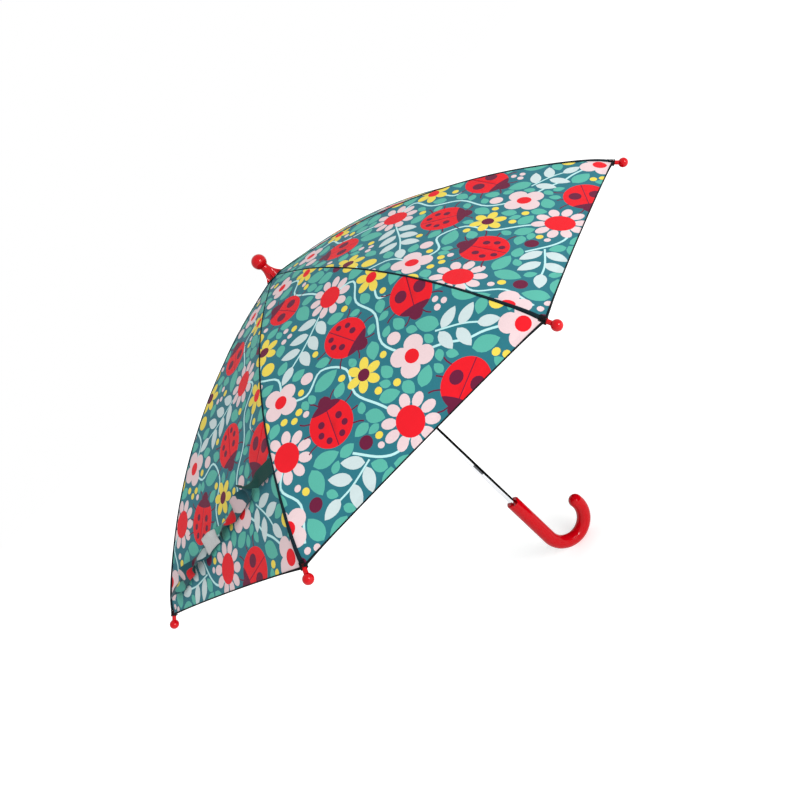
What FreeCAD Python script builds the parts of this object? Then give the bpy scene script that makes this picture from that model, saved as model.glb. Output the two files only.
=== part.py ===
"""Children's umbrella with eight ribs, as a parametric FreeCAD document (millimetres).

+Z runs up the shaft towards the ferrule. The origin is inside the grip, on the shaft's axis.
The hook lies in an upright plane a little off +X, and opens towards +X.
Ribs stand half a step either side of +X and repeat all round; a gore spans each pair.

The canopy is shown open. Each rib, its stretcher and the shaft make an isosceles triangle:
the stretcher is as long as the rib's run from its crown hinge to its stretcher pivot,
so turning all the ribs by one angle slides the runner straight down the shaft.
"""

import FreeCAD, Part
import os
import Sketcher

# name, value in millimetres or degrees, meaning
DIMENSIONS = (
    ("rib_count", 8, "ribs, stretchers and gores"),
    ("hinge_radius", 8, "radius of both hinge wires"),
    ("crown_height", 442, "height of the crown's hinge wire"),
    ("rib_bend", 616, "bend radius of a rib"),
    ("rib_slope", 6.5, "slope of a rib at the crown"),
    ("rib_end_slope", 43.2, "slope of a rib at its tip"),
    ("rib_width", 2.8, "width and depth of the rib channel"),
    ("channel_width", 1.6, "width of the groove inside ribs and stretchers"),
    ("tongue_width", 1.6, "thickness of every hinge tongue"),
    ("eye_radius", 1.9, "outer radius of every hinge eye"),
    ("tongue_length", 10, "length of a hinge tongue"),
    ("tongue_depth", 2.3, "depth of a hinge tongue"),
    ("lug_length", 6, "root of the rib's lug"),
    ("groove_depth", 2.1, "depth of the groove inside ribs and stretchers"),
    ("neck_length", 13.2, "rib tip centre back to the end of the rib channel"),
    ("neck_radius", 2.1, "neck of the rib tip"),
    ("stitch_offset", 17, "rib tip centre back to the stitching hole"),
    ("stitch_radius", 0.6, "radius of the stitching hole"),
    ("ball_radius", 4.9, "rib tip ball"),
    ("peg_width", 1.8, "square peg on the rib inside its tip"),
    ("peg_stop", 1, "rib tip centre back to the end of the peg"),
    ("tip_bore", 1.5, "bore of the rib tip for the peg"),
    ("tip_gap", 0.3, "rib tip to the rib, at both ends of the peg"),
    ("link_length", 163, "stretcher, and crown hinge to stretcher pivot"),
    ("pivot_slope", 15.5, "slope from crown hinge to stretcher pivot"),
    ("stretcher_width", 3.6, "across the stretcher"),
    ("stretcher_depth", 3, "depth of the stretcher"),
    ("fork_gap", 2, "gap of the stretcher's fork"),
    ("fork_length", 9, "depth of the stretcher's fork"),
    ("nose_flat", 1.2, "flat of the fork's pointed ends"),
    ("nose_start", 0.6, "stretcher pivot to where the fork's ends begin to narrow"),
    ("rivet_radius", 0.8, "stretcher rivet"),
    ("rivet_head_radius", 1.5, "head of the stretcher rivet"),
    ("rivet_head_height", 0.6, "head of the stretcher rivet"),
    ("rivet_gap", 0.15, "stretcher to the heads of its rivet"),
    ("rivet_play", 0.06, "radial clearance of a stretcher on its rivet"),
    ("wire_radius", 0.75, "hinge wires"),
    ("wire_play", 0.15, "radial clearance of an eye on a hinge wire"),
    ("wire_seat", 0.05, "clearance of a hinge wire in its groove"),
    ("shaft_radius", 4, "shaft tube, outside"),
    ("shaft_wall", 0.6, "wall of the shaft tube"),
    ("shaft_bottom", -12, "lower end of the shaft, inside the grip"),
    ("shaft_top", 460, "upper end of the shaft, inside the ferrule"),
    ("slot_width", 2, "hinge slots of crown and runner"),
    ("slot_floor", 5.6, "radius where the hinge slots end"),
    ("crown_radius", 11, "crown ring"),
    ("crown_bottom", 436, "underside of the crown"),
    ("crown_top", 443.8, "top of the crown"),
    ("pin_radius", 0.75, "crown pin and stop pin"),
    ("crown_pin_height", 438.6, "height of the crown pin"),
    ("crown_pin_length", 21, "length of the crown pin"),
    ("stop_pin_length", 10.4, "length of the stop pin"),
    ("runner_radius", 11.5, "runner's hinge ring"),
    ("runner_rise", 3, "hinge wire up to the top of the runner"),
    ("runner_ring_drop", 5, "hinge wire down to the underside of the ring"),
    ("runner_drop", 34, "hinge wire down to the bottom of the sleeve"),
    ("ring_slope", 4, "runner's ring down to its sleeve"),
    ("sleeve_radius", 7.5, "runner's sleeve, outside"),
    ("collar_radius", 8.7, "collar at the runner's lower end"),
    ("collar_height", 2.5, "straight part of that collar"),
    ("collar_slope", 1.2, "sloped part of that collar"),
    ("eye_gap", 0.5, "hinge eye to the floor of the runner's slots"),
    ("runner_bore", 4.25, "runner's sleeve, inside"),
    ("key_width", 3, "runner's groove over the catches"),
    ("key_radius", 6.4, "depth of that groove from the axis"),
    ("stop_gap", 0.4, "runner to stop pin, and runner to top catch"),
    ("catch_length", 24, "catch pivot to the flat of its nose"),
    ("catch_reach", 6, "catch nose from the shaft's axis"),
    ("catch_inner", 1.2, "inner face of a catch from the shaft's axis"),
    ("catch_outer", 2.6, "outer face of a catch's leg from the shaft's axis"),
    ("catch_root", 1.5, "catch pivot to the start of its leg"),
    ("catch_ramp", 9, "catch pivot to the foot of its ramp"),
    ("catch_gap", 0.3, "catch foot to the bore of the shaft"),
    ("catch_slot_run", 1.5, "end of the shaft's slot past the catch"),
    ("catch_width", 1.8, "width of a catch"),
    ("catch_slot_width", 2.4, "width of the shaft's slots"),
    ("low_catch_height", 90, "flat of the bottom catch's nose"),
    ("washer_radius", 12.2, "washer under the ferrule"),
    ("washer_bottom", 445.8, "underside of that washer"),
    ("washer_thickness", 0.6, "thickness of that washer"),
    ("washer_play", 0.1, "radial clearance of that washer on the shaft"),
    ("ferrule_radius", 11.8, "foot of the ferrule"),
    ("ferrule_neck", 5, "neck of the ferrule"),
    ("ferrule_flare", 13, "height of the ferrule's fins"),
    ("flare_bend", 20.8, "bend radius of the ferrule's flare"),
    ("foot_height", 1, "straight edge of the ferrule's foot"),
    ("ferrule_fins", 6, "fins round the ferrule"),
    ("ferrule_ball", 8.85, "ball of the ferrule"),
    ("ferrule_ball_height", 469.4, "centre of the ferrule's ball"),
    ("flute_radius", 5.1, "hollow between two fins"),
    ("flute_place", 11.4, "axis to the middle of a hollow"),
    ("cap_thickness", 0.5, "end of the shaft to the end of the ferrule's socket"),
    ("grip_radius", 9.2, "handle"),
    ("grip_top", 30.5, "upper end of the handle's straight part"),
    ("grip_bottom", -45, "lower end of the handle's straight part"),
    ("hook_radius", 30.2, "centreline of the hook"),
    ("hook_sweep", 189, "angle of the hook"),
    ("hook_azimuth", 10, "turn of the hook about the shaft, from +X"),
    ("socket_play", 0.05, "radial clearance of the shaft in the grip"),
    ("mouth_round", 2.4, "rounding of the grip's mouth"),
    ("mouth_width", 8, "notch across the grip's mouth"),
    ("mouth_depth", 2.8, "depth of that notch"),
    ("gore_bend", 558, "bend radius of the canopy along the middle of a gore"),
    ("gore_slope", 7.6, "slope of the canopy there at the crown"),
    ("gore_end_slope", 46.4, "slope of the canopy there past the hem"),
    ("gore_gap", 0.3, "gore edge to the plane of its rib"),
    ("gore_clearance", 2.6, "rib centreline to the underside of the fabric"),
    ("fabric_thickness", 0.5, "canopy fabric"),
    ("hem_radius", 355, "axis to a corner of a gore"),
    ("hem_bend", 6000, "hollow curve of the hem"),
    ("canopy_hole", 5, "hole in the canopy for the shaft"),
    ("strap_middle", 288, "axis to the middle of the tie strap"),
    ("strap_shift", 9, "middle of the tie strap off the middle of its gore"),
    ("strap_angle", 15, "lie of the tie strap across its gore"),
    ("strap_length", 216, "tie strap"),
    ("strap_width", 16, "tie strap"),
    ("strap_lift", 0.9, "fabric up to the tie strap"),
    ("strap_thickness", 0.8, "tie strap"),
    ("patch_length", 22, "hook and loop patches"),
    ("patch_width", 11, "hook and loop patches"),
    ("patch_thickness", 0.4, "hook and loop patches"),
    ("hook_patch_place", 16, "middle of the strap to the hook patch"),
    ("loop_patch_place", 92, "middle of the strap to the loop patch"),
)

RIBS = 8
STRAP_GORE = 5
CATCH_AZIMUTH = -90
PAST = 400  # longer than any piece is wide, for cuts and pads that go all the way
OVER = 1  # how far a cut runs past the face that it opens
ROOT = 0.1  # degrees that a stretch of rib runs into the next one

doc = FreeCAD.newDocument("childrens_umbrella")
dims = doc.addObject("Spreadsheet::Sheet", "dims")
for row, (alias, size, meaning) in enumerate(DIMENSIONS, start=1):
    dims.set(f"A{row}", meaning)
    dims.set(f"B{row}", str(size))
    dims.setAlias(f"B{row}", alias)
doc.recompute()
parts = []


# ---------------------------------------------------------------- document helpers


def value(text):
    """The number that an expression on the sheet gives now."""
    result = doc.Objects[0].evalExpression(text.replace("dims.", ""))
    return float(getattr(result, "Value", result))


def new_body(name):
    body = doc.addObject("PartDesign::Body", "Body_" + name)
    body.Label = name
    parts.append(body)
    return body


def new_sketch(body, plane, lift=None, turn=None):
    """A sketch on one of the body's own planes, lifted off it and turned in it if need be."""
    sketch = body.newObject("Sketcher::SketchObject", "Sketch")
    origin_plane = next(o for o in body.Origin.OriginFeatures if o.Role == plane)
    sketch.AttachmentSupport = [(origin_plane, "")]
    sketch.MapMode = "FlatFace"
    if lift:
        sketch.setExpression("AttachmentOffset.Base.z", lift)
    if turn:
        sketch.setExpression("AttachmentOffset.Rotation.Angle", turn)
    return sketch


def hold(sketch, kind, where, text):
    """Add a dimension to a sketch and bind it to the sheet."""
    index = sketch.addConstraint(Sketcher.Constraint(kind, *where, value(text)))
    sketch.setExpression(f"Constraints[{index}]", text)


def outline(sketch, corners):
    """A closed outline. A corner is (x, y), or (x, y, bend) where the edge that leaves it is an arc
    of radius bend[0] that turns left if bend[1] is 1 and right if it is -1."""
    spots = [FreeCAD.Vector(value(c[0]), value(c[1]), 0) for c in corners]
    edges = []
    for index, corner in enumerate(corners):
        start, end = spots[index], spots[(index + 1) % len(spots)]
        if len(corner) == 2:
            edges.append((sketch.addGeometry(Part.LineSegment(start, end), False), 1, 2))
            continue
        radius, turn = value(corner[2][0]), corner[2][1]
        chord = end - start
        left = FreeCAD.Vector(-chord.y, chord.x, 0).normalize()
        rise = (radius**2 - (chord.Length / 2) ** 2) ** 0.5
        centre = (start + end) * 0.5 + left * (rise * turn)
        circle = Part.Circle(centre, FreeCAD.Vector(0, 0, 1), radius)
        first, last = (start, end) if turn > 0 else (end, start)
        arc = Part.ArcOfCircle(circle, circle.parameter(first), circle.parameter(last))
        number = sketch.addGeometry(arc, False)
        edges.append((number, 1, 2) if turn > 0 else (number, 2, 1))
        hold(sketch, "Radius", (number,), corner[2][0])
    for index, (number, start, end) in enumerate(edges):
        following = edges[(index + 1) % len(edges)]
        sketch.addConstraint(Sketcher.Constraint("Coincident", number, end, following[0], following[1]))
        hold(sketch, "DistanceX", (-1, 1, number, start), corners[index][0])
        hold(sketch, "DistanceY", (-1, 1, number, start), corners[index][1])


def box_outline(sketch, left, right, low, high):
    outline(sketch, [(left, low), (right, low), (right, high), (left, high)])


def disc(sketch, x, y, radius):
    centre = FreeCAD.Vector(value(x), value(y), 0)
    circle = Part.Circle(centre, FreeCAD.Vector(0, 0, 1), value(radius))
    number = sketch.addGeometry(circle, False)
    hold(sketch, "DistanceX", (-1, 1, number, 3), x)
    hold(sketch, "DistanceY", (-1, 1, number, 3), y)
    hold(sketch, "Radius", (number,), radius)


def pad(body, sketch, length, both_ways=True):
    feature = body.newObject("PartDesign::Pad", "Pad")
    feature.Profile = sketch
    if both_ways:
        feature.SideType = "Symmetric"
    feature.setExpression("Length", length)
    return feature


def pocket(body, sketch, length, both_ways=True, flipped=False):
    """Cut a sketch into the body, and make sure that the cut takes something away."""
    doc.recompute()
    before = body.Shape.Volume
    feature = body.newObject("PartDesign::Pocket", "Pocket")
    feature.Profile = sketch
    if both_ways:
        feature.SideType = "Symmetric"
    feature.Reversed = flipped
    feature.setExpression("Length", length)
    doc.recompute()
    if body.Shape.Volume > before - 1e-6:
        raise RuntimeError(f"a pocket in {body.Label} cuts nothing")
    return feature


def revolve(body, sketch, axis="V_Axis", angle="360"):
    feature = body.newObject("PartDesign::Revolution", "Revolution")
    feature.Profile = sketch
    feature.ReferenceAxis = (sketch, [axis])
    feature.setExpression("Angle", angle)
    return feature


def repeat_round(body, feature, count):
    pattern = body.newObject("PartDesign::PolarPattern", "PolarPattern")
    pattern.Originals = [feature]
    pattern.Axis = (next(o for o in body.Origin.OriginFeatures if o.Role == "Z_Axis"), [""])
    pattern.Angle = 360
    pattern.setExpression("Occurrences", count)
    body.Tip = pattern
    return pattern


def place(piece, azimuth, radius="0", height="0", tilt="0"):
    """Stand a piece at a radius and height, tilted about its own Y, then turned about the shaft."""
    turned = f"placement(vector(0; 0; 0); rotation(vector(0; 0; 1); {azimuth}))"
    moved = f"placement(vector({radius}; 0; {height}); rotation(vector(0; 1; 0); {tilt}))"
    piece.setExpression("Placement", f"{turned} * {moved}")


# ---------------------------------------------------------------- formulas shared by several pieces

STEP = "360 / dims.rib_count"
HALF_GORE = "180 / dims.rib_count"
PIVOT_X = "(dims.hinge_radius + dims.link_length * cos(dims.pivot_slope))"
PIVOT_Z = "(dims.crown_height - dims.link_length * sin(dims.pivot_slope))"
RIB_CENTRE_X = "(dims.hinge_radius - dims.rib_bend * sin(dims.rib_slope))"
RIB_CENTRE_Z = "(dims.crown_height - dims.rib_bend * cos(dims.rib_slope))"
LUG_SLOPE = f"(atan(({PIVOT_X} - {RIB_CENTRE_X}) / ({PIVOT_Z} - {RIB_CENTRE_Z})) / 1 deg)"
RUNNER_OPEN = "(dims.crown_height - 2 * dims.link_length * sin(dims.pivot_slope))"
STOP_HEIGHT = f"({RUNNER_OPEN} + dims.runner_rise + dims.stop_gap + dims.pin_radius)"
TOP_CATCH_PIVOT = f"({RUNNER_OPEN} - dims.runner_drop - dims.stop_gap - dims.catch_length)"
LOW_CATCH_PIVOT = "(dims.low_catch_height + dims.catch_length)"


def rib_azimuth(index):
    return f"({index} - 0.5) * {STEP}"


def gore_azimuth(index):
    return f"{index} * {STEP}"


def along_rib(slope, offset="0"):
    """A point of the rib's plane, offset outwards from the rib's centreline where it has that slope."""
    reach = f"(dims.rib_bend + {offset})"
    return f"{RIB_CENTRE_X} + {reach} * sin({slope})", f"{RIB_CENTRE_Z} + {reach} * cos({slope})"


def rib_turn(length):
    """The angle that a length of rib takes up at the bend's centre."""
    return f"({length}) / dims.rib_bend * 180 / pi"


def rib_stretch(start, end, low, high):
    """Outline of a stretch of rib between two slopes and two offsets."""
    low_start, low_end = along_rib(start, low), along_rib(end, low)
    high_end, high_start = along_rib(end, high), along_rib(start, high)
    return [
        (*low_start, (f"dims.rib_bend + {low}", -1)),
        low_end,
        (*high_end, (f"dims.rib_bend + {high}", 1)),
        high_start,
    ]


# ---------------------------------------------------------------- ribs and stretchers


def make_rib(index):
    """A bent steel channel: hinge tongue at the crown, lug for the stretcher, peg for the tip."""
    body = new_body(f"rib_{index}")
    half = "dims.rib_width / 2"
    start = f"dims.rib_slope + {rib_turn('dims.tongue_length')}"
    end = f"dims.rib_end_slope - {rib_turn('dims.neck_length')}"
    sketch = new_sketch(body, "XZ_Plane")
    outline(sketch, rib_stretch(start, end, f"-{half}", half))
    pad(body, sketch, "dims.rib_width")

    sketch = new_sketch(body, "XZ_Plane")
    thin = "dims.tongue_depth / 2"
    outline(sketch, rib_stretch("dims.rib_slope", f"{start} + {ROOT}", f"-{thin}", thin))
    lug_depth = f"-(dims.rib_bend - ({PIVOT_X} - {RIB_CENTRE_X}) / sin({LUG_SLOPE}))"
    wide, narrow = rib_turn("dims.lug_length / 2"), rib_turn("dims.eye_radius")
    outline(
        sketch,
        [
            along_rib(f"{LUG_SLOPE} - {wide}"),
            along_rib(f"{LUG_SLOPE} + {wide}"),
            along_rib(f"{LUG_SLOPE} + {narrow}", lug_depth),
            along_rib(f"{LUG_SLOPE} - {narrow}", lug_depth),
        ],
    )
    pad(body, sketch, "dims.tongue_width")

    sketch = new_sketch(body, "XZ_Plane")
    disc(sketch, "dims.hinge_radius", "dims.crown_height", "dims.eye_radius")
    disc(sketch, PIVOT_X, PIVOT_Z, "dims.eye_radius")
    pad(body, sketch, "dims.tongue_width")

    sketch = new_sketch(body, "XZ_Plane")
    peg_end = f"dims.rib_end_slope - {rib_turn('dims.peg_stop')}"
    outline(sketch, rib_stretch(f"{end} - {ROOT}", peg_end, "-dims.peg_width / 2", "dims.peg_width / 2"))
    pad(body, sketch, "dims.peg_width")

    sketch = new_sketch(body, "XZ_Plane")
    margin = rib_turn("4 * dims.eye_radius")
    groove_low, groove_high = f"-{half} - {OVER}", f"dims.groove_depth - {half}"
    outline(sketch, rib_stretch(f"{start} + {margin}", f"{LUG_SLOPE} - {margin}", groove_low, groove_high))
    groove_end = f"dims.rib_end_slope - {rib_turn('2 * dims.stitch_offset')}"
    outline(sketch, rib_stretch(f"{LUG_SLOPE} + {margin}", groove_end, groove_low, groove_high))
    pocket(body, sketch, "dims.channel_width")

    sketch = new_sketch(body, "XZ_Plane")
    disc(sketch, "dims.hinge_radius", "dims.crown_height", "dims.wire_radius + dims.wire_play")
    disc(sketch, PIVOT_X, PIVOT_Z, "dims.rivet_radius")
    stitch = along_rib(f"dims.rib_end_slope - {rib_turn('dims.stitch_offset')}")
    disc(sketch, *stitch, "dims.stitch_radius")
    pocket(body, sketch, "2 * dims.rib_width")
    place(body, rib_azimuth(index))


def make_rib_tip(index):
    """A moulded ball with a short neck, pressed on the rib's peg."""
    body = new_body(f"rib_tip_{index}")
    sketch = new_sketch(body, "XZ_Plane")
    bore, neck = "dims.tip_bore", "dims.neck_radius"
    foot, bore_end = "dims.tip_gap - dims.neck_length", "dims.tip_gap - dims.peg_stop"
    waist = "-sqrt(pow(dims.ball_radius; 2) - pow(dims.neck_radius; 2))"
    outline(
        sketch,
        [
            (bore, foot),
            (neck, foot),
            (neck, waist, ("dims.ball_radius", 1)),
            ("0", "dims.ball_radius"),
            ("0", bore_end),
            (bore, bore_end),
        ],
    )
    revolve(body, sketch)
    tip_x, tip_z = along_rib("dims.rib_end_slope")
    place(body, rib_azimuth(index), tip_x, tip_z, "90 + dims.rib_end_slope")


def make_rivet(index):
    """The rivet that joins a rib's lug and its stretcher's fork."""
    body = new_body(f"stretcher_rivet_{index}")
    sketch = new_sketch(body, "XY_Plane")
    shank = "dims.stretcher_width / 2 + dims.rivet_gap"
    end = f"{shank} + dims.rivet_head_height"
    outline(
        sketch,
        [
            ("0", f"-({end})"),
            ("dims.rivet_head_radius", f"-({end})"),
            ("dims.rivet_head_radius", f"-({shank})"),
            ("dims.rivet_radius", f"-({shank})"),
            ("dims.rivet_radius", shank),
            ("dims.rivet_head_radius", shank),
            ("dims.rivet_head_radius", end),
            ("0", end),
        ],
    )
    revolve(body, sketch)
    place(body, rib_azimuth(index), PIVOT_X, PIVOT_Z)


def make_stretcher(index):
    """A channel with a tongue on the runner's wire and a fork over the rib's lug."""
    body = new_body(f"stretcher_{index}")
    half = "dims.stretcher_depth / 2"
    start, shoulder = f"dims.tongue_length + {OVER}", "dims.link_length + dims.nose_start"
    nose = "dims.link_length + dims.eye_radius"
    sketch = new_sketch(body, "XZ_Plane")
    outline(
        sketch,
        [
            (start, f"-{half}"),
            (shoulder, f"-{half}"),
            (nose, "-dims.nose_flat / 2"),
            (nose, "dims.nose_flat / 2"),
            (shoulder, half),
            (start, half),
        ],
    )
    pad(body, sketch, "dims.stretcher_width")

    sketch = new_sketch(body, "XZ_Plane")
    thin = "dims.tongue_depth / 2"
    box_outline(sketch, "0", f"{start} + {OVER}", f"-{thin}", thin)
    pad(body, sketch, "dims.tongue_width")

    sketch = new_sketch(body, "XZ_Plane")
    disc(sketch, "0", "0", "dims.eye_radius")
    pad(body, sketch, "dims.tongue_width")

    sketch = new_sketch(body, "XZ_Plane")
    fork_root = "dims.link_length - dims.fork_length"
    box_outline(sketch, fork_root, f"{nose} + {OVER}", f"-{half} - {OVER}", f"{half} + {OVER}")
    pocket(body, sketch, "dims.fork_gap")

    sketch = new_sketch(body, "XZ_Plane")
    groove_end = "dims.link_length - 2 * dims.fork_length"
    groove_low, groove_high = f"-{half} - {OVER}", f"dims.groove_depth - {half}"
    box_outline(sketch, "2 * dims.tongue_length", groove_end, groove_low, groove_high)
    pocket(body, sketch, "dims.channel_width")

    sketch = new_sketch(body, "XZ_Plane")
    disc(sketch, "0", "0", "dims.wire_radius + dims.wire_play")
    disc(sketch, "dims.link_length", "0", "dims.rivet_radius + dims.rivet_play")
    pocket(body, sketch, "2 * dims.stretcher_width")
    place(body, rib_azimuth(index), "dims.hinge_radius", RUNNER_OPEN, "-dims.pivot_slope")


# ---------------------------------------------------------------- crown, runner and their wires


def make_hinge_ring(body, outer, low, high):
    """Cut the hinge slots and the wire's groove into a ring whose hinge wire is at height 0."""
    sketch = new_sketch(body, "XY_Plane", low, HALF_GORE)
    half = "dims.slot_width / 2"
    box_outline(sketch, "dims.slot_floor", f"{outer} + {OVER}", f"-{half}", half)
    slot = pocket(body, sketch, high, both_ways=False, flipped=True)
    repeat_round(body, slot, "dims.rib_count")

    doc.recompute()
    sketch = new_sketch(body, "XZ_Plane")
    wide = "dims.wire_radius + dims.wire_seat"
    box_outline(sketch, f"dims.hinge_radius - ({wide})", f"{outer} + {OVER}", f"-({wide})", wide)
    groove = body.newObject("PartDesign::Groove", "Groove")
    groove.Profile = sketch
    groove.ReferenceAxis = (sketch, ["V_Axis"])
    groove.Angle = 360
    body.Tip = groove


def make_crown():
    """The top notch: a ring pinned to the shaft that carries the ribs on a wire."""
    body = new_body("crown")
    sketch = new_sketch(body, "XZ_Plane")
    low, high = "dims.crown_bottom - dims.crown_height", "dims.crown_top - dims.crown_height"
    box_outline(sketch, "dims.shaft_radius", "dims.crown_radius", low, high)
    revolve(body, sketch)
    sketch = new_sketch(body, "YZ_Plane")
    disc(sketch, "0", "dims.crown_pin_height - dims.crown_height", "dims.pin_radius")
    pocket(body, sketch, "4 * dims.crown_radius")
    make_hinge_ring(body, "dims.crown_radius", f"{low} - {OVER}", f"{high} - ({low}) + {2 * OVER}")
    place(body, "0", height="dims.crown_height")


def make_runner():
    """The slider: a sleeve on the shaft whose ring carries the stretchers on a wire.
    A groove down its bore, on the -Y side, clears the noses of the catches."""
    body = new_body("runner")
    sketch = new_sketch(body, "XZ_Plane")
    outline(
        sketch,
        [
            ("dims.runner_bore", "-dims.runner_drop"),
            ("dims.collar_radius", "-dims.runner_drop"),
            ("dims.collar_radius", "-dims.runner_drop + dims.collar_height"),
            ("dims.sleeve_radius", "-dims.runner_drop + dims.collar_height + dims.collar_slope"),
            ("dims.sleeve_radius", "-dims.runner_ring_drop - dims.ring_slope"),
            ("dims.runner_radius", "-dims.runner_ring_drop"),
            ("dims.runner_radius", "dims.runner_rise"),
            ("dims.runner_bore", "dims.runner_rise"),
        ],
    )
    revolve(body, sketch)
    sketch = new_sketch(body, "XY_Plane")
    half = "dims.key_width / 2"
    box_outline(sketch, f"-{half}", half, "-dims.key_radius", f"-dims.shaft_radius + {OVER}")
    pocket(body, sketch, "4 * dims.runner_drop")
    low = "-dims.eye_radius - dims.eye_gap"
    make_hinge_ring(body, "dims.runner_radius", low, "dims.runner_rise + 2 * dims.eye_radius")
    place(body, "0", height=RUNNER_OPEN)


def make_wire(name, height):
    ring = doc.addObject("Part::Torus", "Torus_" + name)
    ring.Label = name
    ring.setExpression("Radius1", "dims.hinge_radius")
    ring.setExpression("Radius2", "dims.wire_radius")
    ring.setExpression("Placement.Base.z", height)
    parts.append(ring)


def make_pin(name, length, height):
    """A straight pin through the shaft, along X."""
    body = new_body(name)
    sketch = new_sketch(body, "YZ_Plane")
    disc(sketch, "0", "0", "dims.pin_radius")
    pad(body, sketch, length)
    place(body, "0", height=height)


# ---------------------------------------------------------------- shaft, catches, ferrule and handle


def make_shaft():
    body = new_body("shaft_tube")
    sketch = new_sketch(body, "XY_Plane", "dims.shaft_bottom")
    disc(sketch, "0", "0", "dims.shaft_radius")
    disc(sketch, "0", "0", "dims.shaft_radius - dims.shaft_wall")
    pad(body, sketch, "dims.shaft_top - dims.shaft_bottom", both_ways=False)
    sketch = new_sketch(body, "XZ_Plane")
    half = "dims.catch_slot_width / 2"
    near, far = "dims.catch_length / 3", "dims.catch_length + dims.catch_slot_run"
    box_outline(sketch, f"-{half}", half, f"{TOP_CATCH_PIVOT} + {near}", f"{TOP_CATCH_PIVOT} + {far}")
    box_outline(sketch, f"-{half}", half, f"{LOW_CATCH_PIVOT} - ({far})", f"{LOW_CATCH_PIVOT} - {near}")
    pocket(body, sketch, f"dims.shaft_radius + {OVER}", both_ways=False, flipped=True)
    sketch = new_sketch(body, "YZ_Plane")
    disc(sketch, "0", "dims.crown_pin_height", "dims.pin_radius")
    disc(sketch, "0", STOP_HEIGHT, "dims.pin_radius")
    pocket(body, sketch, "4 * dims.shaft_radius")


def make_catch(name, pivot, upright):
    """A spring strip inside the shaft whose nose stands out of a slot: a round foot at its fixed end,
    then a leg, then a nose with a ramp on one side and a flat on the other."""
    body = new_body(name)
    sketch = new_sketch(body, "XZ_Plane")
    outline(
        sketch,
        [
            ("dims.catch_inner", "dims.catch_root"),
            ("dims.catch_outer", "dims.catch_root"),
            ("dims.catch_outer", "dims.catch_ramp"),
            ("dims.catch_reach", f"dims.catch_length - {OVER}"),
            ("dims.catch_reach", "dims.catch_length"),
            ("dims.catch_inner", "dims.catch_length"),
        ],
    )
    pad(body, sketch, "dims.catch_width")
    sketch = new_sketch(body, "XZ_Plane")
    disc(sketch, "0", "0", "dims.shaft_radius - dims.shaft_wall - dims.catch_gap")
    pad(body, sketch, "dims.catch_width")
    turned = f"placement(vector(0; 0; 0); rotation(vector(0; 0; 1); {CATCH_AZIMUTH}))"
    flip = "0" if upright else "180"
    moved = f"placement(vector(0; 0; {pivot}); rotation(vector(1; 0; 0); {flip}))"
    body.setExpression("Placement", f"{turned} * {moved}")


def make_washer():
    body = new_body("ferrule_washer")
    sketch = new_sketch(body, "XY_Plane", "dims.washer_bottom")
    disc(sketch, "0", "0", "dims.washer_radius")
    disc(sketch, "0", "0", "dims.shaft_radius + dims.washer_play")
    pad(body, sketch, "dims.washer_thickness", both_ways=False)


def make_ferrule():
    """A ball on a finned, flared foot, pressed on the top of the shaft."""
    body = new_body("ferrule")
    foot = "dims.washer_bottom + dims.washer_thickness"
    neck = f"{foot} + dims.ferrule_flare"
    ball_foot = "dims.ferrule_ball_height - sqrt(pow(dims.ferrule_ball; 2) - pow(dims.ferrule_neck; 2))"
    sketch = new_sketch(body, "XZ_Plane")
    outline(
        sketch,
        [
            ("dims.shaft_radius", foot),
            ("dims.ferrule_radius", foot),
            ("dims.ferrule_radius", f"{foot} + dims.foot_height", ("dims.flare_bend", -1)),
            ("dims.ferrule_neck", neck),
            ("dims.ferrule_neck", ball_foot, ("dims.ferrule_ball", 1)),
            ("0", "dims.ferrule_ball_height + dims.ferrule_ball"),
            ("0", "dims.shaft_top + dims.cap_thickness"),
            ("dims.shaft_radius", "dims.shaft_top + dims.cap_thickness"),
        ],
    )
    revolve(body, sketch)
    sketch = new_sketch(body, "XY_Plane", f"{foot} - {OVER}")
    disc(sketch, "dims.flute_place", "0", "dims.flute_radius")
    flute = pocket(body, sketch, f"dims.ferrule_flare + {2 * OVER}", both_ways=False, flipped=True)
    repeat_round(body, flute, "dims.ferrule_fins")


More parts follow.
